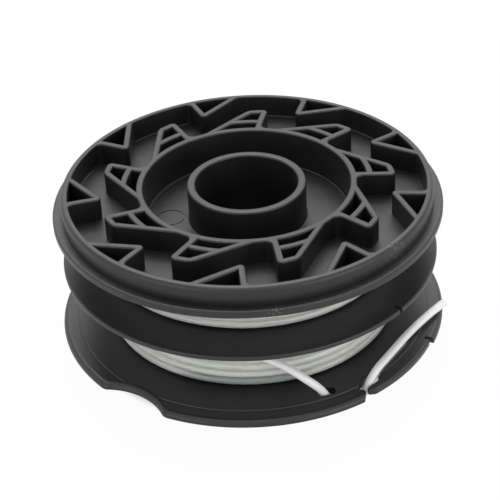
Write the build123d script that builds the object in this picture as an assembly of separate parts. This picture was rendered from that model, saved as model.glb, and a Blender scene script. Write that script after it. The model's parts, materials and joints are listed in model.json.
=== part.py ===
from build123d import *
import os
from math import cos, radians, sin, tan

# Trimmer line spool: one moulded body with a wide, a middle and a toothed flange, wound with two lengths
# of line. Millimetres, +Z up, origin on the axis at the plane that the foot stands on. Azimuths are
# degrees from +X, counter-clockwise from above.

# Line
line_d = 1.65
line_clearance = 0.25

# Hub tube and the drum that the line is wound on
bore_r = 10.5
hub_wall = 1.7
drum_r = 22.65
drum_wall = 1.45
foot_h = 2.2

# Flanges and the two winding chambers, from the bottom up
flange_r = 40.6
flange_t = 1.7
flange_edge_round = 1.2
flange_step_in = 3.2
flange_step_h = 0.25
lower_chamber_h = 13.2
mid_r = 39.0
mid_t = 1.1
mid_edge_round = 0.35
upper_chamber_h = 8.7
plate_t = 1.5

# Toothed cup on top: rim with a flared lip, open channel, spring pocket
channel_depth = 4.9
rim_r = 38.1
rim_wall = 1.5
rim_round = 0.9
lip_out = 1.9
lip_above_plate = 1.05
lip_edge_h = 1.8
lip_round = 0.5
pocket_depth = 8.0
pocket_floor_t = 1.5
core_ribs = 6
core_rib_t = 1.4

# Ratchet teeth: hollow fins on the drum ring and hollow wedges on the rim, alternating
teeth = 9
tooth_rib = 1.4
fin_tip_r = 30.75
fin_lean_az = 1.3
fin_shoulder_drop = 0.35
fin_shoulder_az = 7.7
fin_span_az = 35.8
fin_tip_round = 1.1
fin_shoulder_round = 2.6
fin_foot_round = 1.4
fin_cross_r = 25.4
fin_cross_t = 1.4
wedge_az = 27.7
wedge_tip_r = 29.2
wedge_steep_angle = 5.5
wedge_slant_angle = 59.3
wedge_tip_round = 1.0
wedge_foot_round = 1.2

# Cut-outs of the wide flange, each made twice, half a turn apart
scallop_az = 231.7
scallop_depth = 3.1
scallop_r = 13.5
scallop_corner_round = 2.0
notch_az = 303.5
notch_mouth = 3.3
notch_neck = 0.7
notch_neck_depth = 1.3
tab_relief = 0.6
tab_end_az = 334.5
tab_end_gap = 0.9
tab_end_depth = 1.9
tab_slit_w = 1.0
mid_slit_az = 317.8
mid_slit_w = 0.8
mid_slit_depth = 1.6

# How far a cutter reaches past the face that it cuts, and how many copies a flange cut-out has
overcut = 1.0
flange_cut_count = 2

# Windings
winding_gap = 0.1
turn_crest = 0.75
upper_winding_r = 30.8
lower_winding_r = 30.3

# The free end of the lower line, chosen by eye: out of the winding, down through the flange, back up
# beside the notch and away across the flange to a cut end. The holes in the flange follow some of its
# points, and each bend takes up a share of the shorter run beside it.
line_route = [
    (-5.2, -27.7, 12.9),
    (0.4, -30.3, 12.0),
    (5.8, -32.2, 10.2),
    (10.0, -33.5, 7.4),
    (12.4, -33.1, 4.9),
    (14.4, -32.6, 1.2),
    (17.6, -32.2, 0.95),
    (20.9, -31.5, 0.95),
    (23.2, -29.2, 5.15),
    (26.4, -24.7, 5.3),
    (31.6, -17.3, 5.5),
    (36.4, -11.0, 5.15),
    (40.2, -6.6, 4.8),
]
dive_run = line_route[4:6]
rise_run = line_route[7:9]
slit_run = line_route[8:11]
bend_ratio = 0.45

# Levels and radii that follow from the sizes above
hub_r = bore_r + hub_wall
ring_in_r = drum_r - drum_wall
ring_mid_r = drum_r - drum_wall / 2
rim_in_r = rim_r - rim_wall
rim_mid_r = rim_r - rim_wall / 2
lip_r = rim_r + lip_out
z_flange = foot_h
z_disc = z_flange + flange_t
z_mid = z_disc + lower_chamber_h
z_mid_top = z_mid + mid_t
z_plate = z_mid_top + upper_chamber_h
z_floor = z_plate + plate_t
z_top = z_floor + channel_depth
z_pocket = z_top - pocket_depth
z_core = z_pocket - pocket_floor_t
z_lip = z_plate + lip_above_plate


def polar(r, azimuth):
    """Plan point at a radius and an azimuth."""
    return (r * cos(radians(azimuth)), r * sin(radians(azimuth)))


def round_corner(face, point, radius):
    """Round the corner of a flat face that lies at a point."""
    corner = face.vertices().sort_by_distance(Vector(*point))[0]
    return fillet(corner, radius)


def corners_at(sketch, radius):
    """Corners of a plan that lie on a circle about the axis."""
    close = 1e-3
    return [v for v in sketch.vertices() if abs(Vector(v.X, v.Y).length - radius) < close]


def around(shape, count):
    """Copies of a shape, evenly spaced about the axis."""
    pitch = 360 / count
    return [Rot(0, 0, pitch * i) * shape for i in range(count)]


def section():
    """Half section of the turned form, as (radius, height)."""
    ledge_z = z_disc - flange_step_h
    step_r = flange_r - flange_step_in
    lip_top = z_lip + lip_edge_h
    outline = Polyline(
        (bore_r, 0), (hub_r, 0), (hub_r, z_core), (ring_in_r, z_core), (ring_in_r, 0), (drum_r, 0),
        (drum_r, z_flange), (flange_r, z_flange), (flange_r, ledge_z), (step_r, ledge_z), (step_r, z_disc),
        (drum_r, z_disc), (drum_r, z_mid), (mid_r, z_mid), (mid_r, z_mid_top), (drum_r, z_mid_top),
        (drum_r, z_plate), (rim_in_r, z_plate), (lip_r, z_lip), (lip_r, lip_top), (rim_r, lip_top),
        (rim_r, z_top), (rim_in_r, z_top), (rim_in_r, z_floor), (drum_r, z_floor), (drum_r, z_top),
        (ring_in_r, z_top), (ring_in_r, z_pocket), (hub_r, z_pocket), (hub_r, z_top), (bore_r, z_top),
        close=True,
    )
    face = make_face(outline)
    face = round_corner(face, (flange_r, ledge_z), flange_edge_round)
    for z in (z_mid, z_mid_top):
        face = round_corner(face, (mid_r, z), mid_edge_round)
    face = round_corner(face, (lip_r, lip_top), lip_round)
    return round_corner(face, (rim_r, z_top), rim_round)


def fin():
    """Plan of one fin, with the pocket that hollows it."""
    face_root = polar(ring_mid_r, fin_lean_az / 2)
    tip = polar(fin_tip_r, -fin_lean_az / 2)
    shoulder = polar(fin_tip_r - fin_shoulder_drop, fin_shoulder_az)
    back_root = polar(ring_mid_r, fin_span_az)
    inner_r = ring_mid_r - 2 * tooth_rib
    inner = (polar(inner_r, fin_span_az), polar(inner_r, fin_lean_az / 2))
    outline = make_face(Polyline(face_root, tip, shoulder, back_root, *inner, close=True))
    hollow = offset(outline, -tooth_rib, kind=Kind.INTERSECTION)
    cross_out = Circle(fin_cross_r + fin_cross_t / 2)
    cross_in = Circle(fin_cross_r - fin_cross_t / 2)
    hollow = hollow - Circle(drum_r) - (cross_out - cross_in)
    outline = round_corner(outline, tip, fin_tip_round)
    outline = round_corner(outline, shoulder, fin_shoulder_round)
    return outline - Circle(ring_mid_r), hollow


def wedge():
    """Plan of one wedge, with the pocket that hollows it."""
    reach = 2 * rim_r
    tip = Vector(*polar(wedge_tip_r, wedge_az))
    steep = tip + Vector(*polar(reach, wedge_az + wedge_steep_angle))
    slant = tip + Vector(*polar(reach, wedge_az - wedge_slant_angle))
    outline = make_face(Polyline(tip, steep, slant, close=True))
    hollow = offset(outline, -tooth_rib, kind=Kind.INTERSECTION) & Circle(rim_in_r)
    outline = round_corner(outline, tip, wedge_tip_round)
    return outline & Circle(rim_mid_r), hollow


def ratchet():
    """Ring, rim and teeth of the toothed cup, standing on the channel floor."""
    fin_plan, fin_hollow = fin()
    wedge_plan, wedge_hollow = wedge()
    ring = Circle(drum_r) - Circle(ring_in_r)
    ring = ring + around(fin_plan, teeth)
    ring = fillet(corners_at(ring, drum_r), fin_foot_round)
    rim = Circle(rim_mid_r) - Circle(rim_in_r)
    rim = rim + around(wedge_plan, teeth)
    rim = fillet(corners_at(rim, rim_in_r), wedge_foot_round)
    ring = ring - around(fin_hollow, teeth)
    rim = rim - around(wedge_hollow, teeth)
    base = Pos(0, 0, z_floor - plate_t / 2)
    height = channel_depth + plate_t / 2
    return base * extrude(ring, height) + base * extrude(rim, height)


def slot_along(route_run, width):
    """Plan of a round-ended slot from the first to the last point of a run of the line's route."""
    a = Vector(*route_run[0][:2])
    b = Vector(*route_run[-1][:2])
    run = b - a
    middle = (a + b) * 0.5
    turn = Vector(1, 0, 0).get_signed_angle(run, Vector(0, 0, 1))
    return Pos(middle.X, middle.Y) * Rot(0, 0, turn) * SlotCenterToCenter(run.length, width)


def flange_edge():
    """Plan of the wide flange: scallops, notches and relieved tabs in its edge."""
    beyond = flange_r + overcut
    scallop = Pos(*polar(flange_r - scallop_depth + scallop_r, scallop_az)) * Circle(scallop_r)
    plan = Circle(flange_r) - around(scallop, flange_cut_count)
    plan = fillet(corners_at(plan, flange_r), scallop_corner_round)
    neck_r = flange_r - notch_neck_depth
    mouth = Polyline((neck_r - line_d, notch_neck / 2), (neck_r, notch_neck / 2), (flange_r, notch_mouth / 2),
                     (beyond, notch_mouth / 2), (beyond, -notch_mouth / 2), (flange_r, -notch_mouth / 2),
                     (neck_r, -notch_neck / 2), (neck_r - line_d, -notch_neck / 2), close=True)
    notch = Rot(0, 0, notch_az) * make_face(mouth)
    tab = Circle(beyond) - Circle(flange_r - tab_relief)
    tab = tab & make_face(Polyline((0, 0), polar(2 * beyond, notch_az), polar(2 * beyond, tab_end_az),
                                   close=True))
    gap_r = flange_r - tab_end_depth
    gap = Rot(0, 0, tab_end_az) * Pos((gap_r + beyond) / 2, 0) * Rectangle(beyond - gap_r, tab_end_gap)
    return plan - around(notch + tab + gap, flange_cut_count)


def flange_cuts():
    """What is taken out of the wide flange: its edge forms, the line's two holes and the tab's slit."""
    hole_w = line_d + 2 * line_clearance
    holes = slot_along(dive_run, hole_w) + slot_along(rise_run, hole_w) + slot_along(slit_run, tab_slit_w)
    removed = Circle(flange_r + overcut) - flange_edge() + around(holes, flange_cut_count)
    return Pos(0, 0, z_flange - overcut) * extrude(removed, flange_t + 2 * overcut)


def spool_body():
    """The moulded body."""
    body = revolve(Plane.XZ * section(), Axis.Z)
    body = body + ratchet()
    rib_w = ring_mid_r - (bore_r + hub_r) / 2
    rib = Pos((ring_mid_r + (bore_r + hub_r) / 2) / 2, 0, (z_flange + z_core) / 2)
    rib = rib * Box(rib_w, core_rib_t, z_core - z_flange)
    body = body + around(rib, core_ribs)
    slit_l = 2 * mid_slit_depth
    slit = Rot(0, 0, mid_slit_az) * Pos(mid_r, 0, z_mid + mid_t / 2) * Box(slit_l, mid_slit_w, 2 * mid_t)
    return body - flange_cuts() - slit


def winding(z_low, z_high, outer_r):
    """A chamber's wound line: a ring with one ridge for each turn of its outer layer."""
    low = z_low + winding_gap
    height = z_high - z_low - 2 * winding_gap
    turns = int(height / line_d)
    pitch = height / turns
    turn_r = outer_r - line_d / 2
    inner_r = drum_r + winding_gap
    outline = [(inner_r, low), (turn_r, low)]
    for i in range(turns):
        middle = low + pitch * (i + 0.5)
        outline += [(outer_r, middle - turn_crest / 2), (outer_r, middle + turn_crest / 2)]
        outline += [(turn_r, middle + pitch / 2)]
    outline += [(inner_r, low + height)]
    profile = make_face(Polyline(*outline, close=True))
    return revolve(Plane.XZ * profile, Axis.Z)


def bend_radii(route):
    """Radius at each inner point of a route, as large as its two runs allow."""
    radii = []
    for before, here, after in zip(route, route[1:], route[2:]):
        into = Vector(*here) - Vector(*before)
        out = Vector(*after) - Vector(*here)
        half = radians(into.get_angle(out)) / 2
        radii.append(bend_ratio * min(into.length, out.length) / tan(half))
    return radii


def line_tube(diameter):
    """The free line end, as a tube along its route."""
    radii = bend_radii(line_route)
    path = FilletPolyline(*line_route, radius=radii)
    start = Plane(origin=path @ 0, z_dir=path % 0)
    return sweep(start * Circle(diameter / 2), path=path), path, radii


line_end, line_path, line_radii = line_tube(line_d)
print("line end radii", [round(r, 1) for r in line_radii], "length", round(line_path.length, 1))

lower_winding = winding(z_disc, z_mid, lower_winding_r) - line_tube(line_d + 2 * winding_gap)[0]

parts = {
    "spool_body": spool_body(),
    "upper_line_winding": winding(z_mid_top, z_plate, upper_winding_r),
    "lower_line_winding": lower_winding,
    "line_end": line_end,
}
os.makedirs("parts", exist_ok=True)
for name, shape in parts.items():
    export_step(shape, f"parts/{name}.step")
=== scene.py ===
import json
from math import acos, asin, cos, degrees, hypot, pi, radians, sin, sqrt, tan

import bmesh
import bpy
from mathutils import Matrix, Vector


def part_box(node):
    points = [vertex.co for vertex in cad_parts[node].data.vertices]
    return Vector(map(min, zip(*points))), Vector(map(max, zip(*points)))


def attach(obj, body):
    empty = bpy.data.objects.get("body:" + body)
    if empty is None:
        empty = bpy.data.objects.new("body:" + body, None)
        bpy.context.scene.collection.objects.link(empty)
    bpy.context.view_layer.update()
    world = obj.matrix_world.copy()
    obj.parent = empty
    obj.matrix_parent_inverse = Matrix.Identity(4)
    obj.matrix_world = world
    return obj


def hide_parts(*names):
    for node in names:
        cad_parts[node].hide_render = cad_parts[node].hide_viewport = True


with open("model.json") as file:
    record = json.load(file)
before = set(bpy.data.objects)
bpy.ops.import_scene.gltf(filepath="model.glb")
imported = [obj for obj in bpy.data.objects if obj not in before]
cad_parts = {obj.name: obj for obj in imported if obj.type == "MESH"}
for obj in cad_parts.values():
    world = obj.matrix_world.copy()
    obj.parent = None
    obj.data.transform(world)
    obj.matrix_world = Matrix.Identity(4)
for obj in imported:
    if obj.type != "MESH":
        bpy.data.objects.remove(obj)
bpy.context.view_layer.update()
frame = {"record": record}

# Trimmer line spool: a black moulded body wound with two lengths of pale line. Lengths in the named values
# are millimetres, and MM turns them into the frame's metres. Azimuths are degrees from +X, seen from above.
MM = 0.001

# Sizes that the frame gives
BODY_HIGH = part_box("spool_body")[1]
UPPER_LOW, UPPER_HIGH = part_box("upper_line_winding")
LOWER_LOW, LOWER_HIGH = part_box("lower_line_winding")
BORE_R = frame["record"]["mounts"][0]["dims"]["r_mm"]
FLANGE_R = BODY_HIGH.x / MM
TOP = BODY_HIGH.z / MM

# Hub, drum and chambers
WINDING_GAP = 0.1
HUB_R = 12.2
DRUM_R = 22.65
RING_IN_R = 21.2
RING_MID_R = (DRUM_R + RING_IN_R) / 2
DISC = LOWER_LOW.z / MM - WINDING_GAP
MID_LOW = LOWER_HIGH.z / MM + WINDING_GAP
MID_TOP = UPPER_LOW.z / MM - WINDING_GAP
PLATE_LOW = UPPER_HIGH.z / MM + WINDING_GAP
FLANGE_LOW = 2.2
MID_R = 39.0
MID_EDGE_ROUND = 0.35
POCKET_FLOOR = 25.3
CORE_ROOF = 23.8
CORE_RIBS = 6
CORE_RIB_T = 1.4
CORE_RIB_ROUND = 0.3
HUB_TOP_ROUND = 0.45

# Toothed cup
CHANNEL_FLOOR = 28.4
RIM_R = 38.1
RIM_IN_R = 36.6
RIM_ROUND = 0.95
RIM_IN_ROUND = 0.3
PLATE_ROUND = 0.6
LIP_R = 40.0
LIP_LOW = 27.95
LIP_TOP = 29.5
LIP_LOW_ROUND = 0.3
LIP_TOP_ROUND = 0.4
TEETH = 9
TOOTH_RIB = 1.4
TOOTH_TOP_ROUND = 0.42
TOOTH_TOP_SEGMENTS = 3
FIN_TIP = (30.75, -0.65)
FIN_SHOULDER = (30.4, 7.7)
FIN_FACE_AZ = 0.65
FIN_BACK_AZ = 35.8
FIN_BACK_SHARE = 0.868
FIN_CROSS_R = 25.4
FIN_CROSS_T = 1.4
FIN_FOOT_ROUND = 1.4
FIN_TIP_ROUND = 1.1
FIN_SHOULDER_ROUND = 2.6
WEDGE_TIP = (29.2, 27.7)
WEDGE_STEEP_AZ = 33.2
WEDGE_SLANT_AZ = -31.6
WEDGE_BACK_AZ = range(33, 6, -2)
WEDGE_TIP_ROUND = 1.0
WEDGE_FOOT_ROUND = 1.2
WEDGE_BITE = 0.05
SUNK = 0.5
BURIED = 0.1
LEDGE = 0.02
PROUD = 0.004

# Mark of an ejector pin in the spring pocket
PIN_AT = (16.0, 179)
PIN_R = 2.8
PIN_LINE = 0.25
PIN_DEPTH = 0.12
PIN_STEPS = 48

# Wide flange
STEP_R = 37.4
STEP_H = 0.25
SCALLOP_AZ = 231.7
SCALLOP_R = 13.5
SCALLOP_DEPTH = 3.1
SCALLOP_CORNER = 2.0
SCALLOP_STEPS = 18
SCALLOP_END_AZ = 5
SCALLOP_CLEAR_AZ = 1.6
SCALLOP_REACH = 10.2
EDGE_ROUND = 1.15
EDGE_SOFT = 0.12
EDGE_SEGMENTS = 4
EDGE_NEAR = 0.05
TAB_ROUND = 0.55
NOTCH_AZ = 303.5
NOTCH_MOUTH = 3.3
NOTCH_NECK = 0.7
NOTCH_DEPTH = 1.3
NOTCH_SLOT = 1.65
TAB_RELIEF = 0.6
TAB_END_AZ = 334.5
TAB_END_GAP = 0.9
TAB_END_DEPTH = 1.9
HOLE_W = 2.15
TAB_SLIT_W = 1.0
SLOT_END = 2.01
MID_SLIT_AZ = 317.8
MID_SLIT_W = 0.8
MID_SLIT_DEPTH = 1.6

# Line
LINE_D = 1.65
ROUTE = [
    (-5.2, -27.7, 12.9),
    (0.4, -30.3, 12.0),
    (5.8, -32.2, 10.2),
    (10.0, -33.5, 7.4),
    (12.4, -33.1, 4.9),
    (14.4, -32.6, 1.2),
    (17.6, -32.2, 0.95),
    (20.9, -31.5, 0.95),
    (23.2, -29.2, 5.15),
    (26.4, -24.7, 5.3),
    (31.6, -17.3, 5.5),
    (36.4, -11.0, 5.15),
    (40.2, -6.6, 4.8),
]
LINE_SIDES = 14
FREE_LINE_STEPS = 16
FREE_LINE_ROUND = 6
TURN_STEPS = 72
LINE_SWAY = 0.2
SWAY_SCALE = 14
LAYER_STEP = 1.4
CROSSING = 0.12
CROSSING_AZ = 90
LOOSEST_PITCH = 1.76
LOWER_ROWS = 7
UPPER_ROWS = 5
DIVE = ROUTE[4:6]
RISE = ROUTE[7:9]
SLIT = ROUTE[8:11]

# Roundings, how finely round forms are divided, and how near counts as the same
ROUND = 0.25
ROUND_SEGMENTS = 2
FINE_STEPS = 216
CUTTER_STEPS = 120
ARC_STEP = radians(30)
WIDE_ROUND = 0.5
OVERCUT = 2.0
DOUBLES = 0.005
SLIVER = 0.001
LEVEL = 0.01
HAIRPIN = 0.001

# Angles that tell a straight run, a sharp edge and a square edge, and those that are shaded smooth
STRAIGHT = radians(2)
SHARP_EDGE = radians(30)
SQUARE_EDGE = radians(60)
BODY_SMOOTH = radians(32)
LINE_SMOOTH = radians(40)
FLAT_WEIGHT = 100

# Looks
BODY_DARK = (0.007, 0.0073, 0.0073, 1)
BODY_PALE = (0.0115, 0.0118, 0.0116, 1)
BODY_ROUGH = (0.36, 0.44)
GRAIN_SCALE = 2500.0
GRAIN_STRENGTH = 0.12
GRAIN_DEPTH = 0.2
CLOUD_SCALE = 60.0
CLOUD_RANGE = (0.3, 0.7)
WOUND_DARK = (0.72, 0.745, 0.71, 1)
WOUND_PALE = (0.91, 0.925, 0.89, 1)
FREE_DARK = (0.88, 0.89, 0.88, 1)
FREE_PALE = (0.95, 0.955, 0.95, 1)
LINE_ROUGH = (0.22, 0.34)
LINE_IOR = 1.53
LINE_SOFTNESS = 0.25
LINE_SOFT_DEPTH = 1.2
STREAK_SCALE = 1500.0
STREAK_RANGE = (0.36, 0.64)
# Painted shade on the lower winding's lowest turn: its tone, the heights where it fades out, and its reach in
# millimetres from a place at the front
PAINTED_SHADE_TONE = (0.5, 0.515, 0.515, 1)
PAINTED_SHADE_TOP = (6.0, 6.5)
PAINTED_SHADE_AT = (-2.5, -30.5, 5.4)
PAINTED_SHADE_REACH = (7.0, 17.0)
WOUND_CLEARNESS = 0.2
FREE_CLEARNESS = 0.04
# Light specks: scuffs on the rim's right front wall, a scratch on the tab, and a painted glint on the lip's
# front
SPECK_SCALE = 2600.0
SPECK_RANGE = (0.54, 0.66)
WEAR_AND_GLINT_COLOUR = (0.16, 0.15, 0.13, 1)
WEAR_AND_GLINT_SPOTS = [
    # scuffs on the rim's right front wall
    ((27.9, -25.9, 32.0), 4.0),
    # painted glint on the lip's front edge
    ((4.0, -39.8, 29.4), 2.2),
    # a scratch on the tab
    ((31.2, -17.7, 3.9), 2.6),
]

# Stage: the floor's shade shows up to a radius in millimetres, and lamps are in metres and watts
WHITE = (1, 1, 1, 1)
FLOOR_SIZE = 4
FLOOR_PAINT = (0.9, 0.9, 0.9, 1)
FLOOR_GLOW = 0.96
SHADE_EDGE = (33, 37.5)
WORLD_LIGHT = 0.5
LAMPS = [
    ("back_lamp", (0.0, 1.0, 0.75), (1.4, 0.8), 2.5),
    ("top_lamp", (0.0, -0.35, 1.2), (1.0, 1.0), 2.5),
    ("right_lamp", (0.85, -0.75, 0.28), (0.8, 0.45), 3.2),
    ("left_lamp", (-0.8, -0.8, 0.28), (0.8, 0.45), 1.8),
    ("high_lamp", (0.0, 0.55, 1.1), (1.2, 0.7), 12),
]

# Camera, in metres and degrees
CAMERA_AT = (0, -0.2582, 0.1892)
CAMERA_TILT = 56.2
CAMERA_ROLL = -3.03
CAMERA_LENS = 106.24
CAMERA_NEAR = 0.01


def polar(r, azimuth):
    """Plan point at a radius and an azimuth."""
    return Vector((r * cos(radians(azimuth)), r * sin(radians(azimuth)), 0))


def to_circle(start, azimuth, r):
    """Where a plan line from a point inside a circle meets it."""
    along = polar(1, azimuth)
    ahead = start.dot(along)
    return start + along * (sqrt(ahead ** 2 - start.length_squared + r ** 2) - ahead)


def rounded(corners):
    """Points of a closed outline whose corners, given as (point, radius), are rounded by arcs."""
    points = []
    places = [Vector(p).to_3d() for p, _ in corners]
    for i, (_, radius) in enumerate(corners):
        here = places[i]
        back = (places[i - 1] - here).normalized()
        ahead = (places[(i + 1) % len(places)] - here).normalized()
        half = acos(max(-1.0, min(1.0, back.dot(ahead)))) / 2
        turn = pi - 2 * half
        if radius == 0 or turn < STRAIGHT:
            points.append(here)
            continue
        centre = here + (back + ahead).normalized() * (radius / sin(half))
        first = here + back * (radius / tan(half)) - centre
        last = here + ahead * (radius / tan(half)) - centre
        step = ARC_STEP if radius < WIDE_ROUND else ARC_STEP / 2
        steps = max(2, round(turn / step))
        for k in range(steps + 1):
            share = k / steps
            arm = first * sin((1 - share) * turn) + last * sin(share * turn)
            points.append(centre + (arm / sin(turn) if turn < pi - HAIRPIN else first.lerp(last, share)))
    return points


def trace(name, points):
    """A flat filled outline in metres, drawn by extruding one vertex from point to point."""
    bpy.ops.object.select_all(action="DESELECT")
    bpy.ops.mesh.primitive_plane_add(size=MM)
    piece = bpy.context.object
    piece.name = name
    bpy.context.tool_settings.mesh_select_mode = (True, False, False)
    bpy.ops.object.mode_set(mode="EDIT")
    bpy.ops.mesh.merge(type="CENTER")
    places = [Vector(p).to_3d() * MM for p in points]
    bpy.ops.transform.translate(value=places[0])
    for a, b in zip(places, places[1:]):
        bpy.ops.mesh.extrude_vertices_move(TRANSFORM_OT_translate={"value": b - a})
    bpy.ops.mesh.select_all(action="SELECT")
    bpy.ops.mesh.edge_face_add()
    bpy.ops.object.mode_set(mode="OBJECT")
    return piece


def pick(piece, kind, wanted):
    """Select the vertices, edges or faces of a piece in edit mode for which wanted is true."""
    bpy.context.tool_settings.mesh_select_mode = (kind == "verts", kind == "edges", kind == "faces")
    bpy.ops.mesh.select_all(action="DESELECT")
    shape = bmesh.from_edit_mesh(piece.data)
    shape.normal_update()
    for element in getattr(shape, kind):
        element.select_set(bool(wanted(element)))
    shape.select_flush_mode()
    bmesh.update_edit_mesh(piece.data)


def edit(piece):
    """Open one piece alone in edit mode, with all of it selected."""
    bpy.ops.object.select_all(action="DESELECT")
    bpy.context.view_layer.objects.active = piece
    piece.select_set(True)
    bpy.ops.object.mode_set(mode="EDIT")
    bpy.ops.mesh.select_all(action="SELECT")


def close_edit():
    """Leave edit mode."""
    bpy.ops.object.mode_set(mode="OBJECT")


def clean(piece):
    """Merge doubles and point all faces outwards."""
    edit(piece)
    bpy.ops.mesh.remove_doubles(threshold=DOUBLES * MM)
    bpy.ops.mesh.normals_make_consistent(inside=False)
    close_edit()
    return piece


def turned(name, corners, steps=FINE_STEPS):
    """A turned form: a closed half section of (radius, height) corners, spun about the axis."""
    section = rounded([((r, 0, z), radius) for r, z, radius in corners])
    piece = trace(name, section)
    edit(piece)
    bpy.ops.mesh.delete(type="ONLY_FACE")
    bpy.ops.mesh.select_all(action="SELECT")
    bpy.ops.mesh.spin(steps=steps, angle=2 * pi, center=(0, 0, 0), axis=(0, 0, 1))
    close_edit()
    return clean(piece)


def raise_plan(piece, low, high):
    """Extrude a flat outline between two heights."""
    edit(piece)
    bpy.ops.transform.translate(value=(0, 0, low * MM))
    bpy.ops.mesh.extrude_region_move(TRANSFORM_OT_translate={"value": (0, 0, (high - low) * MM)})
    close_edit()
    return clean(piece)


def prism(name, points, low, high):
    """An upright form between two heights over a plan outline."""
    return raise_plan(trace(name, points), low, high)


def combine(piece, other, operation):
    """Cut another piece out of one, or unite or intersect them, and use the other one up."""
    modifier = piece.modifiers.new("combine", "BOOLEAN")
    modifier.object = other
    modifier.operation = operation
    modifier.solver = "EXACT"
    bpy.ops.object.select_all(action="DESELECT")
    bpy.context.view_layer.objects.active = piece
    piece.select_set(True)
    bpy.ops.object.modifier_apply(modifier=modifier.name)
    bpy.data.objects.remove(other)
    return piece


def ring_copies(piece, count):
    """Repeat a piece evenly about the axis, in its own mesh."""
    edit(piece)
    turn = 2 * pi / count * (count - 1)
    bpy.ops.mesh.spin(steps=count - 1, dupli=True, angle=turn, center=(0, 0, 0), axis=(0, 0, 1))
    close_edit()
    return piece


def soften(piece, level, size, r_from=0, r_to=FLANGE_R, segments=ROUND_SEGMENTS):
    """Round the sharp edges that lie at one height and between two radii."""
    clean(piece)
    edit(piece)

    def sharp(edge):
        at_level = all(abs(v.co.z - level * MM) < LEVEL * MM for v in edge.verts)
        in_reach = all(r_from * MM < hypot(v.co.x, v.co.y) < r_to * MM for v in edge.verts)
        return at_level and in_reach and edge.calc_face_angle(0) > SHARP_EDGE

    pick(piece, "edges", sharp)
    bpy.ops.mesh.bevel(offset=size * MM, segments=segments, affect="EDGES", clamp_overlap=False)
    close_edit()
    return piece


def inset_plan(piece, wall):
    """Shrink a flat outline by a wall thickness."""
    bpy.context.tool_settings.mesh_select_mode = (False, False, True)
    edit(piece)
    bpy.ops.mesh.inset(thickness=wall * MM)
    bpy.ops.mesh.select_all(action="INVERT")
    bpy.ops.mesh.delete(type="FACE")
    close_edit()
    return piece


def drum_cutter(name, r, low, high, centre=(0, 0, 0), steps=CUTTER_STEPS):
    """An upright round cutter."""
    bpy.ops.object.select_all(action="DESELECT")
    middle = Vector(centre) * MM + Vector((0, 0, (low + high) / 2 * MM))
    bpy.ops.mesh.primitive_cylinder_add(vertices=steps, radius=r * MM, depth=(high - low) * MM,
                                        location=middle)
    bpy.context.object.name = name
    bpy.ops.object.transform_apply(location=True, rotation=True, scale=True)
    return bpy.context.object


def cup_and_drum():
    """Hub, drum, middle flange and toothed cup's walls, turned in one."""
    return turned("spool_body_moulded", [
        (BORE_R, 0, ROUND), (HUB_R, 0, ROUND), (HUB_R, CORE_ROOF, ROUND), (RING_IN_R, CORE_ROOF, ROUND),
        (RING_IN_R, 0, ROUND), (DRUM_R, 0, ROUND), (DRUM_R, MID_LOW, ROUND),
        (MID_R, MID_LOW, MID_EDGE_ROUND), (MID_R, MID_TOP, MID_EDGE_ROUND),
        (DRUM_R, MID_TOP, ROUND), (DRUM_R, PLATE_LOW, ROUND), (RIM_IN_R, PLATE_LOW, PLATE_ROUND),
        (LIP_R, LIP_LOW, LIP_LOW_ROUND), (LIP_R, LIP_TOP, LIP_TOP_ROUND), (RIM_R, LIP_TOP, 0),
        (RIM_R, TOP, RIM_ROUND), (RIM_IN_R, TOP, RIM_IN_ROUND), (RIM_IN_R, CHANNEL_FLOOR, ROUND),
        (RING_IN_R, CHANNEL_FLOOR, 0), (RING_IN_R, POCKET_FLOOR, ROUND), (HUB_R, POCKET_FLOOR, ROUND),
        (HUB_R, TOP, HUB_TOP_ROUND), (BORE_R, TOP, HUB_TOP_ROUND),
    ])


def fin_plan(turn):
    """Corners of one fin: root and foot of its steep face, tip, shoulder, foot and root of its back."""
    tip = polar(FIN_TIP[0], FIN_TIP[1] + turn)
    shoulder = polar(FIN_SHOULDER[0], FIN_SHOULDER[1] + turn)
    face_root = polar(RING_MID_R, FIN_FACE_AZ + turn)
    back_root = polar(RING_MID_R, FIN_BACK_AZ + turn)
    face_foot = face_root.lerp(tip, (DRUM_R - RING_MID_R) / (FIN_TIP[0] - RING_MID_R))
    back_foot = shoulder.lerp(back_root, FIN_BACK_SHARE)
    return face_root, face_foot, tip, shoulder, back_foot, back_root


def fins():
    """The ring wall with its hollow fins."""
    corners = []
    for i in range(TEETH):
        _, face_foot, tip, shoulder, back_foot, _ = fin_plan(360 / TEETH * i)
        corners += [(face_foot, FIN_FOOT_ROUND), (tip, FIN_TIP_ROUND), (shoulder, FIN_SHOULDER_ROUND),
                    (back_foot, FIN_FOOT_ROUND)]
    piece = prism("fins", rounded(corners), CHANNEL_FLOOR - SUNK, TOP)
    face_root, _, tip, shoulder, _, back_root = fin_plan(0)
    inner_r = RING_MID_R - 2 * TOOTH_RIB
    plan = trace("fin_pocket", [face_root, tip, shoulder, back_root, polar(inner_r, FIN_BACK_AZ),
                                polar(inner_r, FIN_FACE_AZ)])
    pocket = raise_plan(inset_plan(plan, TOOTH_RIB), CHANNEL_FLOOR - BURIED, TOP + OVERCUT)
    pocket = combine(pocket, drum_cutter("wall", DRUM_R, 0, 2 * TOP, steps=FINE_STEPS), "DIFFERENCE")
    cross_in = FIN_CROSS_R - FIN_CROSS_T / 2
    cross_out = FIN_CROSS_R + FIN_CROSS_T / 2
    cross = turned("cross", [(cross_in, 0, 0), (cross_out, 0, 0), (cross_out, 2 * TOP, 0),
                             (cross_in, 2 * TOP, 0)])
    pocket = combine(pocket, cross, "DIFFERENCE")
    piece = combine(piece, ring_copies(pocket, TEETH), "DIFFERENCE")
    middle = drum_cutter("middle", RING_IN_R + LEDGE, 0, 2 * TOP, steps=FINE_STEPS)
    piece = combine(piece, middle, "DIFFERENCE")
    return soften(piece, TOP, TOOTH_TOP_ROUND, segments=TOOTH_TOP_SEGMENTS)


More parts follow.
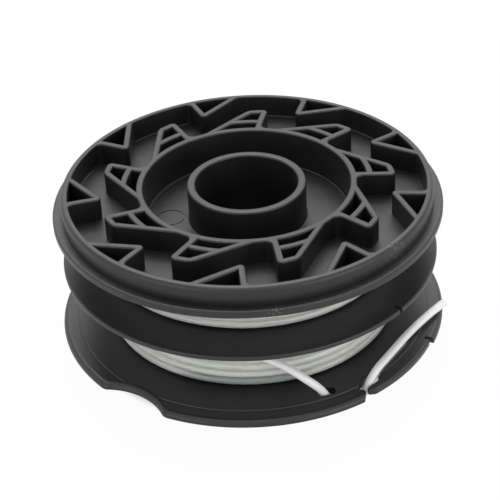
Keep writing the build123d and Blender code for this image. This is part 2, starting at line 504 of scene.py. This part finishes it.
def wedges():
    """Hollow wedges on the rim's inner wall."""
    tip = polar(*WEDGE_TIP)
    foot_r = RIM_IN_R + WEDGE_BITE
    hidden_r = RIM_IN_R + SUNK
    steep_foot = to_circle(tip, WEDGE_STEEP_AZ, foot_r)
    slant_foot = to_circle(tip, WEDGE_SLANT_AZ, foot_r)
    back = [(polar(hidden_r, az), 0) for az in WEDGE_BACK_AZ]
    outline = rounded([
        (tip, WEDGE_TIP_ROUND), (steep_foot, WEDGE_FOOT_ROUND), (polar(foot_r, WEDGE_BACK_AZ[0]), 0), *back,
        (polar(foot_r, WEDGE_BACK_AZ[-1]), 0), (slant_foot, WEDGE_FOOT_ROUND),
    ])
    piece = prism("wedges", outline, CHANNEL_FLOOR - SUNK, TOP + PROUD)
    far = 2 * RIM_R
    plan = trace("wedge_pocket", [tip, tip + polar(far, WEDGE_STEEP_AZ), tip + polar(far, WEDGE_SLANT_AZ)])
    pocket = raise_plan(inset_plan(plan, TOOTH_RIB), CHANNEL_FLOOR - BURIED, TOP + OVERCUT)
    bowl = turned("bowl", [(1, 0, 0), (RIM_IN_R, 0, 0), (RIM_IN_R, 2 * TOP, 0), (1, 2 * TOP, 0)])
    pocket = combine(pocket, bowl, "INTERSECT")
    piece = combine(piece, pocket, "DIFFERENCE")
    soften(piece, TOP + PROUD, TOOTH_TOP_ROUND, r_to=hidden_r - BURIED, segments=TOOTH_TOP_SEGMENTS)
    return ring_copies(piece, TEETH)


def slot_cutter(run, width):
    """An upright round-ended cutter along part of the line's route."""
    a = Vector(run[0][:2]).to_3d()
    b = Vector(run[-1][:2]).to_3d()
    side = (b - a).normalized().cross(Vector((0, 0, 1))) * (width / 2)
    end = (b - a).normalized() * (width / 2)
    plan = rounded([(corner, width / SLOT_END)
                    for corner in (a + side - end, b + side + end, b - side + end, a - side - end)])
    return prism("slot", plan, FLANGE_LOW - OVERCUT, DISC + OVERCUT)


def flange_outline():
    """Corners of the wide flange's plan: two scallops, two notches and two relieved tabs in its edge."""
    reach = FLANGE_R - SCALLOP_DEPTH + SCALLOP_R
    half = degrees(acos((FLANGE_R ** 2 + reach ** 2 - SCALLOP_R ** 2) / (2 * FLANGE_R * reach)))
    bend = degrees(asin(FLANGE_R * sin(radians(half)) / SCALLOP_R))
    neck_r = FLANGE_R - NOTCH_DEPTH
    tab_r = FLANGE_R - TAB_RELIEF
    gap_r = FLANGE_R - TAB_END_DEPTH
    corners = []

    def run(r, start, end):
        count = max(1, round(end - start))
        corners.extend((polar(r, start + (end - start) * k / count), 0) for k in range(count + 1))

    def cut(azimuth, *places):
        out = polar(1, azimuth)
        side = polar(1, azimuth + 90)
        corners.extend((out * r + side * w, 0) for r, w in places)

    for turn in (0, 180):
        notch = NOTCH_AZ + turn
        tab_end = TAB_END_AZ + turn
        mouth_az = degrees(NOTCH_MOUTH / 2 / FLANGE_R)
        gap_az = degrees(TAB_END_GAP / 2 / FLANGE_R)
        run(FLANGE_R, SCALLOP_AZ + turn + half + SCALLOP_CLEAR_AZ, notch - mouth_az)
        cut(notch, (neck_r, -NOTCH_NECK / 2), (neck_r - NOTCH_SLOT, -NOTCH_NECK / 2),
            (neck_r - NOTCH_SLOT, NOTCH_NECK / 2), (neck_r, NOTCH_NECK / 2))
        run(tab_r, notch + mouth_az, tab_end - gap_az)
        cut(tab_end, (gap_r, -TAB_END_GAP / 2), (gap_r, TAB_END_GAP / 2))
        far = SCALLOP_AZ + turn + 180
        run(FLANGE_R, tab_end + gap_az, far - half - SCALLOP_CLEAR_AZ)
        centre = polar(reach, far)
        corners.append((polar(FLANGE_R, far - half), SCALLOP_CORNER))
        for k in range(SCALLOP_STEPS + 1):
            swing = (bend - SCALLOP_END_AZ) * (1 - 2 * k / SCALLOP_STEPS)
            corners.append((centre + polar(SCALLOP_R, far + 180 + swing), 0))
        corners.append((polar(FLANGE_R, far + half), SCALLOP_CORNER))
    return corners


def wide_flange():
    """The wide flange with its cut-out edge, its step and its line holes."""
    ledge = DISC - STEP_H
    low, high = FLANGE_LOW - OVERCUT, DISC + OVERCUT
    plate = prism("wide_flange", rounded(flange_outline()), FLANGE_LOW, ledge)
    edit(plate)

    def outline(edge):
        return edge.calc_face_angle(0) > SQUARE_EDGE

    def long_run(edge, depth=EDGE_NEAR):
        outside = all(hypot(v.co.x, v.co.y) > (FLANGE_R - depth) * MM for v in edge.verts)
        middle = (edge.verts[0].co.xy + edge.verts[1].co.xy) / 2 / MM
        from_scallop = min((middle - polar(FLANGE_R, SCALLOP_AZ + turn).xy).length for turn in (0, 180))
        top = all(abs(v.co.z - ledge * MM) < LEVEL * MM for v in edge.verts)
        return top and outline(edge) and (outside or from_scallop < SCALLOP_REACH)

    def tab_run(edge):
        return long_run(edge, TAB_RELIEF + EDGE_NEAR) and not long_run(edge)

    pick(plate, "edges", outline)
    bpy.ops.transform.edge_bevelweight(value=EDGE_SOFT / EDGE_ROUND)
    pick(plate, "edges", tab_run)
    bpy.ops.transform.edge_bevelweight(value=(TAB_ROUND - EDGE_SOFT) / EDGE_ROUND)
    pick(plate, "edges", long_run)
    bpy.ops.transform.edge_bevelweight(value=1)
    close_edit()
    bevel = plate.modifiers.new("edge", "BEVEL")
    bevel.limit_method = "WEIGHT"
    bevel.width = EDGE_ROUND * MM
    bevel.segments = EDGE_SEGMENTS
    bevel.use_clamp_overlap = False
    bpy.ops.object.modifier_apply(modifier=bevel.name)
    plate = combine(plate, drum_cutter("core", RING_MID_R, low, high), "DIFFERENCE")

    step_in = (RING_MID_R + DRUM_R) / 2
    step = turned("step", [(step_in, ledge - SUNK, 0), (STEP_R, ledge - SUNK, 0), (STEP_R, DISC, STEP_H),
                           (step_in, DISC, 0)])
    reach = polar(FLANGE_R - SCALLOP_DEPTH + SCALLOP_R, SCALLOP_AZ)
    scallop = ring_copies(drum_cutter("scallop", SCALLOP_R + EDGE_ROUND, low, high, reach), 2)
    step = combine(step, scallop, "DIFFERENCE")
    plate = combine(plate, step, "UNION")
    for run, width in ((DIVE, HOLE_W), (RISE, HOLE_W), (SLIT, TAB_SLIT_W)):
        plate = combine(plate, ring_copies(slot_cutter(run, width), 2), "DIFFERENCE")
    return plate


def core_ribs():
    """Ribs between the hub tube and the drum, on the underside."""
    inner = (BORE_R + HUB_R) / 2
    half = CORE_RIB_T / 2
    plan = [(inner, -half), (RING_MID_R, -half), (RING_MID_R, half), (inner, half)]
    rib = prism("core_ribs", plan, FLANGE_LOW, CORE_ROOF + SUNK)
    soften(rib, FLANGE_LOW, CORE_RIB_ROUND)
    return ring_copies(rib, CORE_RIBS)


def body():
    """The moulded body as one closed mesh."""
    piece = cup_and_drum()
    for part in (wide_flange(), fins(), wedges(), core_ribs()):
        piece = combine(piece, part, "UNION")
    out = polar(1, MID_SLIT_AZ)
    side = polar(1, MID_SLIT_AZ + 90) * (MID_SLIT_W / 2)
    deep, far = MID_R - MID_SLIT_DEPTH, MID_R + OVERCUT
    slit = prism("slit", [out * deep - side, out * far - side, out * far + side, out * deep + side],
                 MID_LOW - OVERCUT, MID_TOP + OVERCUT)
    return combine(piece, slit, "DIFFERENCE")


def ejector_ring(piece):
    """The shallow ring that an ejector pin left in the spring pocket's floor."""
    low, high = POCKET_FLOOR - PIN_DEPTH, POCKET_FLOOR + OVERCUT
    inner, outer = PIN_R - PIN_LINE / 2, PIN_R + PIN_LINE / 2
    ring = turned("pin_ring", [(inner, low, 0), (outer, low, 0), (outer, high, 0), (inner, high, 0)],
                  steps=PIN_STEPS)
    edit(ring)
    bpy.ops.transform.translate(value=polar(*PIN_AT) * MM)
    close_edit()
    return combine(piece, ring, "DIFFERENCE")


def finished_body():
    """The body without slivers, shaded so that its flats stay flat beside their rounded edges."""
    piece = ejector_ring(body())
    edit(piece)
    bpy.ops.mesh.dissolve_degenerate(threshold=SLIVER * MM)
    close_edit()
    bpy.ops.object.shade_smooth_by_angle(angle=BODY_SMOOTH)
    shade = piece.modifiers.new("flat_shade", "WEIGHTED_NORMAL")
    shade.keep_sharp = True
    shade.weight = FLAT_WEIGHT
    bpy.ops.object.modifier_apply(modifier=shade.name)
    return piece


def line_layer(name, low, pitch, rows, turn_r, lead):
    """One layer of wound line. Each turn lies level and then crosses over to the next row."""
    turns = rows - CROSSING
    bpy.ops.object.select_all(action="DESELECT")
    start = polar(turn_r, CROSSING_AZ) + Vector((0, 0, low + pitch / 2))
    bpy.ops.mesh.primitive_circle_add(vertices=LINE_SIDES, radius=LINE_D / 2 * MM, fill_type="NOTHING",
                                      location=start * MM, rotation=(pi / 2, 0, radians(CROSSING_AZ)))
    layer = bpy.context.object
    layer.name = name
    layer.scale.y = pitch / LINE_D
    bpy.ops.object.transform_apply(location=True, rotation=True, scale=True)
    screw = layer.modifiers.new("turns", "SCREW")
    screw.angle = 2 * pi * turns * lead
    screw.screw_offset = 0
    screw.steps = screw.render_steps = round(TURN_STEPS * turns)
    screw.use_merge_vertices = False
    bpy.ops.object.modifier_apply(modifier=screw.name)
    edit(layer)
    shape = bmesh.from_edit_mesh(layer.data)
    for i, vertex in enumerate(shape.verts):
        row, share = divmod(i // LINE_SIDES / TURN_STEPS, 1)
        ease = max(0, (share + CROSSING - 1) / CROSSING)
        vertex.co.z += pitch * (row + ease * ease * (3 - 2 * ease)) * MM
    bmesh.update_edit_mesh(layer.data)
    bpy.ops.mesh.fill_holes(sides=0)
    close_edit()
    clean(layer)
    sway = layer.modifiers.new("sway", "DISPLACE")
    sway.texture = line_sway
    sway.texture_coords = "GLOBAL"
    sway.direction = "RGB_TO_XYZ"
    sway.strength = LINE_SWAY * MM
    bpy.ops.object.modifier_apply(modifier=sway.name)
    return layer


def winding(name, low, high, outer_r, rows):
    """A chamber's wound line: an outer layer, the layer that it lies on, and the filled core of the coil."""
    slack = LINE_SWAY / 2
    pitch = min((high - low - 2 * slack) / rows, LOOSEST_PITCH)
    top_r = outer_r - LINE_D / 2 - slack
    under_r = top_r - LAYER_STEP
    outer = line_layer(name, low + slack, pitch, rows, top_r, 1)
    under = line_layer("under", low + slack + pitch / 2, pitch, rows - 1, under_r, -1)
    core = turned("core", [(DRUM_R + WINDING_GAP, low, 0), (under_r, low, ROUND), (under_r, high, ROUND),
                           (DRUM_R + WINDING_GAP, high, 0)])
    bpy.ops.object.select_all(action="DESELECT")
    for part in (core, under, outer):
        part.select_set(True)
    bpy.context.view_layer.objects.active = outer
    bpy.ops.object.join()
    bpy.ops.object.shade_smooth_by_angle(angle=LINE_SMOOTH)
    return outer


def free_line():
    """The line's free end, a smooth curve along its route."""
    curve = bpy.data.curves.new("line_free_end", "CURVE")
    curve.dimensions = "3D"
    spline = curve.splines.new("NURBS")
    spline.points.add(len(ROUTE) - 1)
    for point, place in zip(spline.points, ROUTE):
        point.co = (*(Vector(place) * MM), 1)
    spline.order_u = 3
    spline.use_endpoint_u = True
    spline.resolution_u = FREE_LINE_STEPS
    curve.bevel_depth = LINE_D / 2 * MM
    curve.bevel_resolution = FREE_LINE_ROUND
    curve.use_fill_caps = True
    piece = bpy.data.objects.new("line_free_end", curve)
    bpy.context.scene.collection.objects.link(piece)
    return piece


def node(tree, kind, **values):
    """A shader node with the values of its properties and input sockets."""
    new = tree.nodes.new(kind)
    for name, value in values.items():
        if name in new.bl_rna.properties:
            setattr(new, name, value)
        else:
            new.inputs[name.replace("_", " ")].default_value = value
    return new


def link(tree, start, end):
    """Join an output socket, or a node's first output, to an input socket."""
    tree.links.new(start.outputs[0] if hasattr(start, "outputs") else start, end)


def socket(sockets, identifier):
    """The one of several like-named sockets that has an identifier."""
    return next(s for s in sockets if s.identifier == identifier)


def group(name, inputs, outputs):
    """An empty node group with named value sockets."""
    tree = bpy.data.node_groups.new(name, "ShaderNodeTree")
    for label, default in inputs:
        entry = tree.interface.new_socket(label, in_out="INPUT", socket_type="NodeSocketFloat")
        entry.default_value = default
    for label in outputs:
        tree.interface.new_socket(label, in_out="OUTPUT", socket_type="NodeSocketFloat")
    return tree, tree.nodes.new("NodeGroupInput"), tree.nodes.new("NodeGroupOutput")


def surface_grain():
    """Fine grain as a height, and slow cloudiness as a mask, both over Object coordinates."""
    tree, given, result = group("surface_grain", [("Grain Scale", GRAIN_SCALE), ("Cloud Scale", CLOUD_SCALE)],
                                ["Height", "Cloud"])
    place = node(tree, "ShaderNodeTexCoord")
    fine = node(tree, "ShaderNodeTexNoise", Detail=3.0, Roughness=0.6)
    slow = node(tree, "ShaderNodeTexNoise", Detail=4.0, Roughness=0.55)
    for noise, scale in ((fine, "Grain Scale"), (slow, "Cloud Scale")):
        link(tree, place.outputs["Object"], noise.inputs["Vector"])
        link(tree, given.outputs[scale], noise.inputs["Scale"])
    spread = node(tree, "ShaderNodeMapRange", From_Min=CLOUD_RANGE[0], From_Max=CLOUD_RANGE[1])
    link(tree, fine.outputs["Fac"], result.inputs["Height"])
    link(tree, slow.outputs["Fac"], spread.inputs["Value"])
    link(tree, spread, result.inputs["Cloud"])
    return tree


def wear_and_glint_specks():
    """Fine light specks within reach of one place, as a mask over Object coordinates."""
    tree, given, result = group("wear_and_glint_specks", [("X", 0.0), ("Y", 0.0), ("Z", 0.0), ("Reach", 3 * MM)],
                                ["Mask"])
    place = node(tree, "ShaderNodeTexCoord")
    spot = node(tree, "ShaderNodeCombineXYZ")
    for axis in "XYZ":
        link(tree, given.outputs[axis], spot.inputs[axis])
    distance = node(tree, "ShaderNodeVectorMath", operation="DISTANCE")
    link(tree, place.outputs["Object"], distance.inputs[0])
    link(tree, spot, distance.inputs[1])
    near = node(tree, "ShaderNodeMapRange", interpolation_type="SMOOTHSTEP", To_Min=1.0, To_Max=0.0)
    link(tree, distance.outputs["Value"], near.inputs["Value"])
    link(tree, given.outputs["Reach"], near.inputs["From Max"])
    noise = node(tree, "ShaderNodeTexNoise", Scale=SPECK_SCALE, Detail=2.0, Roughness=0.6)
    link(tree, place.outputs["Object"], noise.inputs["Vector"])
    specks = node(tree, "ShaderNodeMapRange", From_Min=SPECK_RANGE[0], From_Max=SPECK_RANGE[1])
    link(tree, noise.outputs["Fac"], specks.inputs["Value"])
    mask = node(tree, "ShaderNodeMath", operation="MULTIPLY")
    link(tree, near, mask.inputs[0])
    link(tree, specks, mask.inputs[1])
    link(tree, mask, result.inputs["Mask"])
    return tree


def fade(tree, value, limits, start, end):
    """A mask that goes smoothly from one value to another between two places in millimetres."""
    mask = node(tree, "ShaderNodeMapRange", interpolation_type="SMOOTHSTEP", From_Min=limits[0] * MM,
                From_Max=limits[1] * MM, To_Min=start, To_Max=end)
    link(tree, value, mask.inputs["Value"])
    return mask


def line_streaks_and_shade():
    """Streaks along the wound turns, and painted shade on the lowest turn at the front, as masks over Object
    coordinates.
    """
    tree, given, result = group("line_streaks_and_shade", [("Scale", STREAK_SCALE)], ["Streak", "Painted Shade"])
    place = node(tree, "ShaderNodeTexCoord")
    flat = node(tree, "ShaderNodeVectorMath", operation="MULTIPLY")
    flat.inputs[1].default_value = (1, 1, 0)
    link(tree, place.outputs["Object"], flat.inputs[0])
    radius = node(tree, "ShaderNodeVectorMath", operation="LENGTH")
    around = node(tree, "ShaderNodeVectorMath", operation="NORMALIZE")
    height = node(tree, "ShaderNodeVectorMath", operation="MULTIPLY")
    height.inputs[1].default_value = (0, 0, 1)
    link(tree, flat, radius.inputs[0])
    link(tree, flat, around.inputs[0])
    link(tree, place.outputs["Object"], height.inputs[0])
    stretched = node(tree, "ShaderNodeVectorMath", operation="SCALE")
    link(tree, height, stretched.inputs[0])
    link(tree, given.outputs["Scale"], stretched.inputs["Scale"])
    along = node(tree, "ShaderNodeVectorMath", operation="ADD")
    link(tree, around, along.inputs[0])
    link(tree, stretched, along.inputs[1])
    outward = node(tree, "ShaderNodeMath", operation="MULTIPLY")
    link(tree, radius.outputs["Value"], outward.inputs[0])
    link(tree, given.outputs["Scale"], outward.inputs[1])
    noise = node(tree, "ShaderNodeTexNoise", noise_dimensions="4D", Scale=1.0, Detail=3.0, Roughness=0.6)
    link(tree, along, noise.inputs["Vector"])
    link(tree, outward, noise.inputs["W"])
    spread = node(tree, "ShaderNodeMapRange", From_Min=STREAK_RANGE[0], From_Max=STREAK_RANGE[1])
    link(tree, noise.outputs["Fac"], spread.inputs["Value"])
    link(tree, spread, result.inputs["Streak"])
    # Painted shade: darker below a height on the lowest turn, fading out away from its front
    parts = node(tree, "ShaderNodeSeparateXYZ")
    link(tree, place.outputs["Object"], parts.inputs[0])
    distance = node(tree, "ShaderNodeVectorMath", operation="DISTANCE")
    link(tree, place.outputs["Object"], distance.inputs[0])
    distance.inputs[1].default_value = Vector(PAINTED_SHADE_AT) * MM
    painted_shade_mask = node(tree, "ShaderNodeMath", operation="MULTIPLY")
    link(tree, fade(tree, parts.outputs["Z"], PAINTED_SHADE_TOP, 1.0, 0.0), painted_shade_mask.inputs[0])
    link(tree, fade(tree, distance.outputs["Value"], PAINTED_SHADE_REACH, 1.0, 0.0), painted_shade_mask.inputs[1])
    link(tree, painted_shade_mask, result.inputs["Painted Shade"])
    return tree


def plastic(grain, speck_group):
    """Black satin moulding with a few scuffed places, and a painted glint on the lip's front."""
    material = bpy.data.materials.new("black_satin_moulding")
    material.use_nodes = True
    tree = material.node_tree
    shader = tree.nodes["Principled BSDF"]
    surface = node(tree, "ShaderNodeGroup", node_tree=grain)
    colour = node(tree, "ShaderNodeValToRGB")
    colour.color_ramp.elements[0].color = BODY_DARK
    colour.color_ramp.elements[1].color = BODY_PALE
    gloss = node(tree, "ShaderNodeMapRange", To_Min=BODY_ROUGH[0], To_Max=BODY_ROUGH[1])
    bump = node(tree, "ShaderNodeBump", Strength=GRAIN_STRENGTH, Distance=GRAIN_DEPTH * MM)
    link(tree, surface.outputs["Cloud"], colour.inputs["Fac"])
    painted = colour.outputs["Color"]
    # Light specks at each place: scuffs and a scratch, and at the lip's front a painted glint
    for spot, reach in WEAR_AND_GLINT_SPOTS:
        x, y, z = Vector(spot) * MM
        specks = node(tree, "ShaderNodeGroup", node_tree=speck_group)
        for label, value in (("X", x), ("Y", y), ("Z", z), ("Reach", reach * MM)):
            specks.inputs[label].default_value = value
        speck_mix = node(tree, "ShaderNodeMix", data_type="RGBA")
        socket(speck_mix.inputs, "B_Color").default_value = WEAR_AND_GLINT_COLOUR
        link(tree, specks, socket(speck_mix.inputs, "Factor_Float"))
        link(tree, painted, socket(speck_mix.inputs, "A_Color"))
        painted = socket(speck_mix.outputs, "Result_Color")
    link(tree, painted, shader.inputs["Base Color"])
    link(tree, surface.outputs["Cloud"], gloss.inputs["Value"])
    link(tree, gloss, shader.inputs["Roughness"])
    link(tree, surface.outputs["Height"], bump.inputs["Height"])
    link(tree, bump, shader.inputs["Normal"])
    return material


def nylon(name, pattern, mask, dark, pale, clearness, painted_shade_mask=None):
    """Pale translucent nylon line, with a pattern in its tone and gloss, and painted shade multiplied into
    its colour where a shade mask is given.
    """
    material = bpy.data.materials.new(name)
    material.use_nodes = True
    tree = material.node_tree
    shader = tree.nodes["Principled BSDF"]
    shader.inputs["Transmission Weight"].default_value = clearness
    shader.inputs["Subsurface Weight"].default_value = LINE_SOFTNESS
    shader.inputs["Subsurface Radius"].default_value = (1.0, 1.0, 1.0)
    shader.inputs["Subsurface Scale"].default_value = LINE_SOFT_DEPTH * MM
    shader.inputs["IOR"].default_value = LINE_IOR
    surface = node(tree, "ShaderNodeGroup", node_tree=pattern)
    colour = node(tree, "ShaderNodeValToRGB")
    colour.color_ramp.elements[0].color = dark
    colour.color_ramp.elements[1].color = pale
    gloss = node(tree, "ShaderNodeMapRange", To_Min=LINE_ROUGH[0], To_Max=LINE_ROUGH[1])
    link(tree, surface.outputs[mask], colour.inputs["Fac"])
    painted = colour.outputs["Color"]
    if painted_shade_mask:
        # Painted shade: the colour is multiplied darker where the shade mask is
        painted_shade_mix = node(tree, "ShaderNodeMix", data_type="RGBA", blend_type="MULTIPLY")
        socket(painted_shade_mix.inputs, "B_Color").default_value = PAINTED_SHADE_TONE
        link(tree, surface.outputs[painted_shade_mask], socket(painted_shade_mix.inputs, "Factor_Float"))
        link(tree, painted, socket(painted_shade_mix.inputs, "A_Color"))
        painted = socket(painted_shade_mix.outputs, "Result_Color")
    link(tree, painted, shader.inputs["Base Color"])
    link(tree, surface.outputs[mask], gloss.inputs["Value"])
    link(tree, gloss, shader.inputs["Roughness"])
    return material


def backdrop_rays(tree):
    """One for rays that see the backdrop itself, directly, in a reflection or through the line."""
    rays = node(tree, "ShaderNodeLightPath")
    seen = node(tree, "ShaderNodeMath", operation="MAXIMUM")
    link(tree, rays.outputs["Is Camera Ray"], seen.inputs[0])
    link(tree, rays.outputs["Is Glossy Ray"], seen.inputs[1])
    either = node(tree, "ShaderNodeMath", operation="MAXIMUM")
    link(tree, seen, either.inputs[0])
    link(tree, rays.outputs["Is Transmission Ray"], either.inputs[1])
    return either


def white_floor():
    """A plain white floor that keeps a faint shadow."""
    bpy.ops.object.select_all(action="DESELECT")
    bpy.ops.mesh.primitive_plane_add(size=FLOOR_SIZE)
    floor = bpy.context.object
    floor.name = "floor"
    material = bpy.data.materials.new("white_floor")
    material.use_nodes = True
    tree = material.node_tree
    tree.nodes.remove(tree.nodes["Principled BSDF"])
    paint = node(tree, "ShaderNodeBsdfDiffuse", Color=FLOOR_PAINT)
    glow = node(tree, "ShaderNodeEmission", Color=WHITE, Strength=1.0)
    place = node(tree, "ShaderNodeTexCoord")
    distance = node(tree, "ShaderNodeVectorMath", operation="LENGTH")
    link(tree, place.outputs["Object"], distance.inputs[0])
    clear = fade(tree, distance.outputs["Value"], SHADE_EDGE, 0.0, FLOOR_GLOW)
    share = node(tree, "ShaderNodeMath", operation="MULTIPLY")
    link(tree, backdrop_rays(tree), share.inputs[0])
    link(tree, clear, share.inputs[1])
    mix = node(tree, "ShaderNodeMixShader")
    link(tree, share, mix.inputs["Fac"])
    link(tree, paint, mix.inputs[1])
    link(tree, glow, mix.inputs[2])
    link(tree, mix, tree.nodes["Material Output"].inputs["Surface"])
    floor.data.materials.append(material)


def white_world():
    """A white surround, dimmer as light than as a backdrop."""
    world = bpy.data.worlds.new("studio")
    bpy.context.scene.world = world
    world.use_nodes = True
    tree = world.node_tree
    level = node(tree, "ShaderNodeMapRange", To_Min=WORLD_LIGHT, To_Max=1.0)
    link(tree, backdrop_rays(tree), level.inputs["Value"])
    background = tree.nodes["Background"]
    background.inputs["Color"].default_value = WHITE
    link(tree, level, background.inputs["Strength"])


def soft_lamp(name, place, size, watts):
    """A soft rectangular lamp that faces the spool."""
    lamp = bpy.data.lights.new(name, "AREA")
    lamp.shape = "RECTANGLE"
    lamp.size, lamp.size_y = size
    lamp.energy = watts
    holder = bpy.data.objects.new(name, lamp)
    bpy.context.scene.collection.objects.link(holder)
    holder.location = place
    holder.rotation_euler = (-Vector(place)).to_track_quat("-Z", "Y").to_euler()


# Slow sway of the wound turns
line_sway = bpy.data.textures.new("line_sway", "CLOUDS")
line_sway.cloud_type = "COLOR"
line_sway.noise_scale = SWAY_SCALE * MM
line_sway.noise_depth = 1

# Materials
grain = surface_grain()
black = plastic(grain, wear_and_glint_specks())
wound = nylon("wound_nylon_line", line_streaks_and_shade(), "Streak", WOUND_DARK, WOUND_PALE, WOUND_CLEARNESS, "Painted Shade")
free = nylon("free_nylon_line", grain, "Cloud", FREE_DARK, FREE_PALE, FREE_CLEARNESS)

# Pieces
spool = finished_body()
upper = winding("upper_winding_turns", UPPER_LOW.z / MM, UPPER_HIGH.z / MM, UPPER_HIGH.x / MM, UPPER_ROWS)
lower = winding("lower_winding_turns", LOWER_LOW.z / MM, LOWER_HIGH.z / MM, LOWER_HIGH.x / MM, LOWER_ROWS)
line = free_line()
for piece, cad_node, slot, material in (
    (spool, "spool_body", "moulding", black),
    (upper, "upper_line_winding", "line", wound),
    (lower, "lower_line_winding", "line", wound),
    (line, "line_end", "line", free),
):
    piece.data.materials.clear()
    piece.data.materials.append(material)
    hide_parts(cad_node)
    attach(piece, "root")

# Camera
camera_data = bpy.data.cameras.new("camera")
camera = bpy.data.objects.new("camera", camera_data)
bpy.context.scene.collection.objects.link(camera)
camera_data.lens = CAMERA_LENS
camera_data.clip_start = CAMERA_NEAR
camera.matrix_world = (Matrix.Translation(CAMERA_AT) @ Matrix.Rotation(radians(CAMERA_TILT), 4, "X")
                       @ Matrix.Rotation(radians(CAMERA_ROLL), 4, "Z"))
bpy.context.scene.camera = camera

# Stage
bpy.context.scene.view_settings.view_transform = "Standard"
white_floor()
white_world()
for lamp in LAMPS:
    soft_lamp(*lamp)
